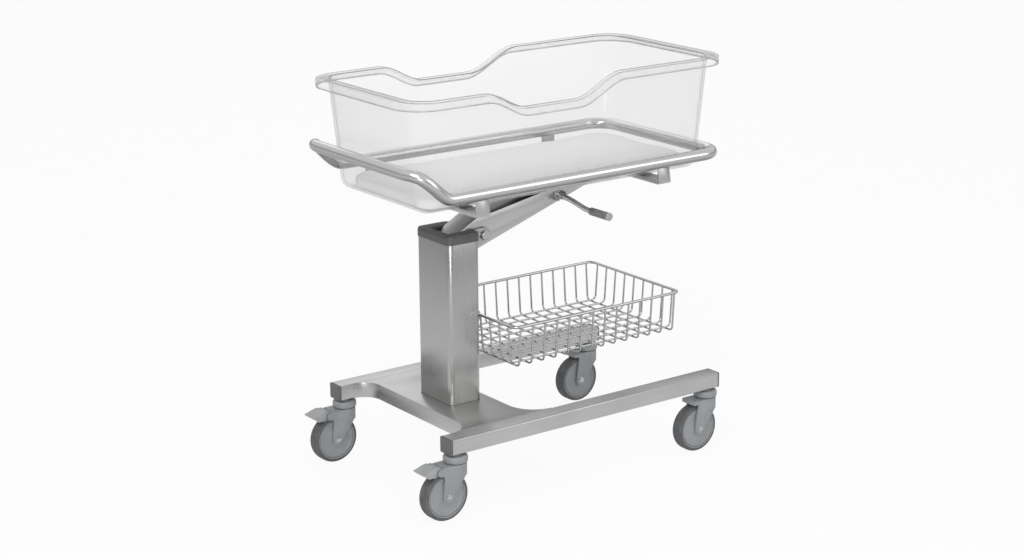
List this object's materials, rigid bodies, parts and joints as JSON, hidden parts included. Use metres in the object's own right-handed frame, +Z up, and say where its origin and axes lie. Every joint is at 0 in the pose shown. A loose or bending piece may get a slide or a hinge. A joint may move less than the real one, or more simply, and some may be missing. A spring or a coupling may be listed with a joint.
{
  "type": "hospital bassinet",
  "caption": "Wheeled hospital bassinet: clear contoured tub with mattress in a tilting tube cradle on a column, with a wire basket and a castered H base.",
  "frame": {"origin": "floor, under the middle of the outer box", "axes": "+Z up, +X toward the head end away from the raised handle, +Y toward the far side from the release lever"},
  "size_m": [0.788, 0.451, 0.8233],
  "materials": {
    "stainless": "satin",
    "polished": "polished",
    "grey_plastic": "moulded satin",
    "light_plastic": "moulded satin",
    "dark_plastic": "moulded matt",
    "tyre_rubber": "smooth rubber",
    "painted_steel": "semi-gloss",
    "clear_plastic": "clear gloss",
    "mattress_cover": "coated cloth"
  },
  "bodies": {
    "base": {"side_rail_near": "stainless", "side_rail_far": "stainless", "rail_end_cap_near_head": "dark_plastic", "rail_end_cap_near_foot": "dark_plastic", "rail_end_cap_far_head": "dark_plastic", "rail_end_cap_far_foot": "dark_plastic", "base_deck": "stainless", "column": "stainless", "column_cap": "dark_plastic", "spring_seat": "stainless", "gas_spring_cylinder": "painted_steel", "pivot_lug_near": "stainless", "pivot_lug_far": "stainless", "pivot_pin": "polished", "basket_bracket": "stainless", "wire_basket": "polished", "caster_collar_near_foot": "grey_plastic", "caster_collar_near_head": "grey_plastic", "caster_collar_far_foot": "grey_plastic", "caster_collar_far_head": "grey_plastic"},
    "cradle": {"tilt_arm": "stainless", "tail_pin": "polished", "cradle_spine": "stainless", "cross_strap_foot": "stainless", "cross_strap_head": "stainless", "cradle_loop": "polished", "lever_bracket": "stainless", "lever_pin": "polished"},
    "gas_rod": {"gas_spring_rod": "polished"},
    "lever": {"release_lever": "polished", "lever_grip": "dark_plastic", "lever_grip_cap": "light_plastic"},
    "tub": {"tub": "clear_plastic"},
    "mattress": {"mattress": "mattress_cover"},
    "caster_near_foot": {"caster_fork_near_foot": "grey_plastic", "axle_bolt_near_foot": "polished"},
    "wheel_near_foot": {"wheel_hub_near_foot": "grey_plastic", "tyre_near_foot": "tyre_rubber"},
    "pedal_near_foot": {"brake_pedal_near_foot": "light_plastic"},
    "caster_near_head": {"caster_fork_near_head": "grey_plastic", "axle_bolt_near_head": "polished"},
    "wheel_near_head": {"wheel_hub_near_head": "grey_plastic", "tyre_near_head": "tyre_rubber"},
    "caster_far_foot": {"caster_fork_far_foot": "grey_plastic", "axle_bolt_far_foot": "polished"},
    "wheel_far_foot": {"wheel_hub_far_foot": "grey_plastic", "tyre_far_foot": "tyre_rubber"},
    "pedal_far_foot": {"brake_pedal_far_foot": "light_plastic"},
    "caster_far_head": {"caster_fork_far_head": "grey_plastic", "axle_bolt_far_head": "polished"},
    "wheel_far_head": {"wheel_hub_far_head": "grey_plastic", "tyre_far_head": "tyre_rubber"}
  },
  "joints": [
    {"name": "cradle_tilt", "type": "hinge", "parent": "base", "child": "cradle", "pos_m": [-0.115, 0, 0.498], "axis": [0, -1, 0], "range_deg": [-12, 12]},
    {"name": "gas_rod_slide", "type": "slide", "parent": "base", "child": "gas_rod", "axis": [0, 0, 1], "range_m": [-0.0115, 0.0115]},
    {"name": "lever_squeeze", "type": "hinge", "parent": "cradle", "child": "lever", "pos_m": [0.071, -0.0415, 0.55], "axis": [-1, 0, 0], "range_deg": [0, 12], "stiffness_Nm_per_rad": 1.5},
    {"name": "tub_lift", "type": "slide", "parent": "cradle", "child": "tub", "axis": [0, 0, 1], "range_m": [0, 0.25]},
    {"name": "mattress_lift", "type": "slide", "parent": "tub", "child": "mattress", "axis": [0, 0, 1], "range_m": [0, 0.25]},
    {"name": "swivel_near_foot", "type": "hinge", "parent": "base", "child": "caster_near_foot", "pos_m": [-0.307, -0.201, 0.112], "axis": [0, 0, 1], "continuous": true},
    {"name": "roll_near_foot", "type": "hinge", "parent": "caster_near_foot", "child": "wheel_near_foot", "pos_m": [-0.336, -0.201, 0.05], "axis": [0, 1, 0], "continuous": true},
    {"name": "pedal_press_near_foot", "type": "hinge", "parent": "caster_near_foot", "child": "pedal_near_foot", "pos_m": [-0.353, -0.201, 0.103], "axis": [0, -1, 0], "range_deg": [0, 8]},
    {"name": "swivel_near_head", "type": "hinge", "parent": "base", "child": "caster_near_head", "pos_m": [0.329, -0.201, 0.112], "axis": [0, 0, 1], "continuous": true},
    {"name": "roll_near_head", "type": "hinge", "parent": "caster_near_head", "child": "wheel_near_head", "pos_m": [0.3, -0.201, 0.05], "axis": [0, 1, 0], "continuous": true},
    {"name": "swivel_far_foot", "type": "hinge", "parent": "base", "child": "caster_far_foot", "pos_m": [-0.307, 0.201, 0.112], "axis": [0, 0, 1], "continuous": true},
    {"name": "roll_far_foot", "type": "hinge", "parent": "caster_far_foot", "child": "wheel_far_foot", "pos_m": [-0.336, 0.201, 0.05], "axis": [0, 1, 0], "continuous": true},
    {"name": "pedal_press_far_foot", "type": "hinge", "parent": "caster_far_foot", "child": "pedal_far_foot", "pos_m": [-0.353, 0.201, 0.103], "axis": [0, -1, 0], "range_deg": [0, 8]},
    {"name": "swivel_far_head", "type": "hinge", "parent": "base", "child": "caster_far_head", "pos_m": [0.329, 0.201, 0.112], "axis": [0, 0, 1], "continuous": true},
    {"name": "roll_far_head", "type": "hinge", "parent": "caster_far_head", "child": "wheel_far_head", "pos_m": [0.3, 0.201, 0.05], "axis": [0, 1, 0], "continuous": true}
  ],
  "couplings": [
    {"joint": "gas_rod_slide", "follows": "cradle_tilt", "m_per_rad": -0.054}
  ]
}
